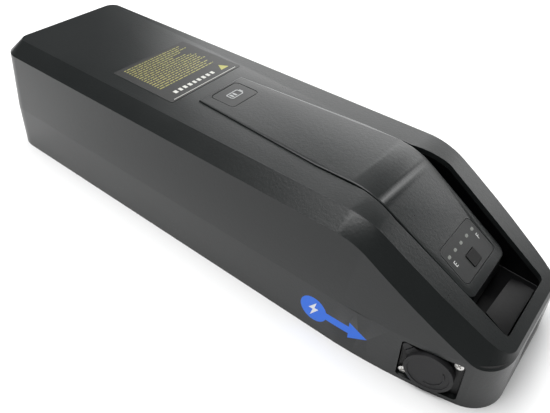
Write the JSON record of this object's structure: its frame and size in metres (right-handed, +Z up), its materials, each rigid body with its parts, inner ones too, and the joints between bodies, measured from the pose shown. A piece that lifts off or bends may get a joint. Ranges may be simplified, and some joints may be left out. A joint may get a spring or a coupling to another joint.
{
  "type": "battery pack",
  "caption": "Long moulded bicycle battery pack with a sloping nose, sunken grip around a raised spine, charge gauge, capped side port and flat mounting face.",
  "frame": {"origin": "middle of the mounting face's box, on the face itself", "axes": "+X along the pack to the sloping nose, +Z up from the mounting face, -Y the side with the charge port"},
  "size_m": [0.316, 0.09, 0.0699],
  "materials": {
    "case_plastic": "fine-textured satin moulded plastic, charcoal",
    "well_plastic": "smooth dark plastic",
    "port_plastic": "fine matt moulded plastic, black",
    "soft_rubber": "soft matt rubber",
    "screw_steel": "plated steel",
    "contact_brass": "plated contacts",
    "keeper_steel": "turned steel",
    "port_steel": "drawn steel shell",
    "badge_gloss": "smooth dark plastic",
    "badge_ink": "pale printed mark",
    "light_guide": "clear light guides, unlit",
    "label_film": "dark printed film",
    "decal_blue": "blue printed film",
    "cell_metal": "shrink-sleeved cell cans",
    "holder_plastic": "moulded frame, black",
    "strip_nickel": "nickel strip",
    "sheet_paper": "pressed insulating board",
    "foam": "soft foam",
    "board_resin": "green circuit board",
    "chip_black": "moulded chip bodies",
    "sink_aluminium": "extruded fins",
    "plug_white": "moulded plug housing",
    "fuse_orange": "blade fuse body",
    "dock_lead_red": "soft insulated wire, red",
    "charge_lead_black": "soft insulated wire, black"
  },
  "bodies": {
    "pack": {"upper_shell": "case_plastic", "lower_shell": "case_plastic", "seam_seal": "soft_rubber", "case_screws": "screw_steel", "grip_well": "well_plastic", "grip_ramp": "well_plastic", "badge_plate": "badge_gloss", "badge_symbol": "badge_ink", "caution_film": "label_film", "side_decal": "decal_blue", "decal_bolt": "badge_ink", "gauge_panel": "badge_gloss", "gauge_lights": "light_guide", "gauge_board": "board_resin", "gauge_housing": "well_plastic", "charge_bezel": "port_plastic", "charge_socket": "port_plastic", "charge_pins": "contact_brass", "charge_screws": "screw_steel", "cap_anchor": "soft_rubber", "usb_port": "port_steel", "usb_board": "board_resin", "dock_connector": "port_plastic", "dock_blades": "contact_brass", "lock_keeper": "keeper_steel", "cells_low_row": "cell_metal", "cells_middle_row": "cell_metal", "cells_top_row": "cell_metal", "cell_holder_near": "holder_plastic", "cell_holder_far": "holder_plastic", "cell_strips_near": "strip_nickel", "cell_strips_far": "strip_nickel", "cell_sheet_near": "sheet_paper", "cell_sheet_far": "sheet_paper", "floor_pad": "foam", "roof_pad": "foam", "control_board": "board_resin", "board_chips": "chip_black", "board_transistors": "chip_black", "heat_sink": "sink_aluminium", "balance_plug": "plug_white", "fuse_holder": "chip_black", "fuse": "fuse_orange", "dock_leads": "dock_lead_red", "charge_leads": "charge_lead_black"},
    "button": {"gauge_button": "soft_rubber"},
    "port_cap": {"charge_cap": "soft_rubber"},
    "usb_flap": {"usb_cover": "soft_rubber"}
  },
  "joints": [
    {"name": "button_press", "type": "slide", "parent": "pack", "child": "button", "axis": [-0.5361, 0, -0.8442], "range_m": [0, 0.001], "stiffness_N_per_m": 300, "springref_m": -0.0015},
    {"name": "cap_hinge", "type": "hinge", "parent": "pack", "child": "port_cap", "pos_m": [0.12214, -0.04192, 0.02076], "axis": [-0.6116, -0.1081, -0.7837], "range_deg": [0, 120]},
    {"name": "flap_hinge", "type": "hinge", "parent": "pack", "child": "usb_flap", "pos_m": [0.158, -0.0075, 0.0136], "axis": [0, 0, -1], "range_deg": [0, 120]}
  ]
}
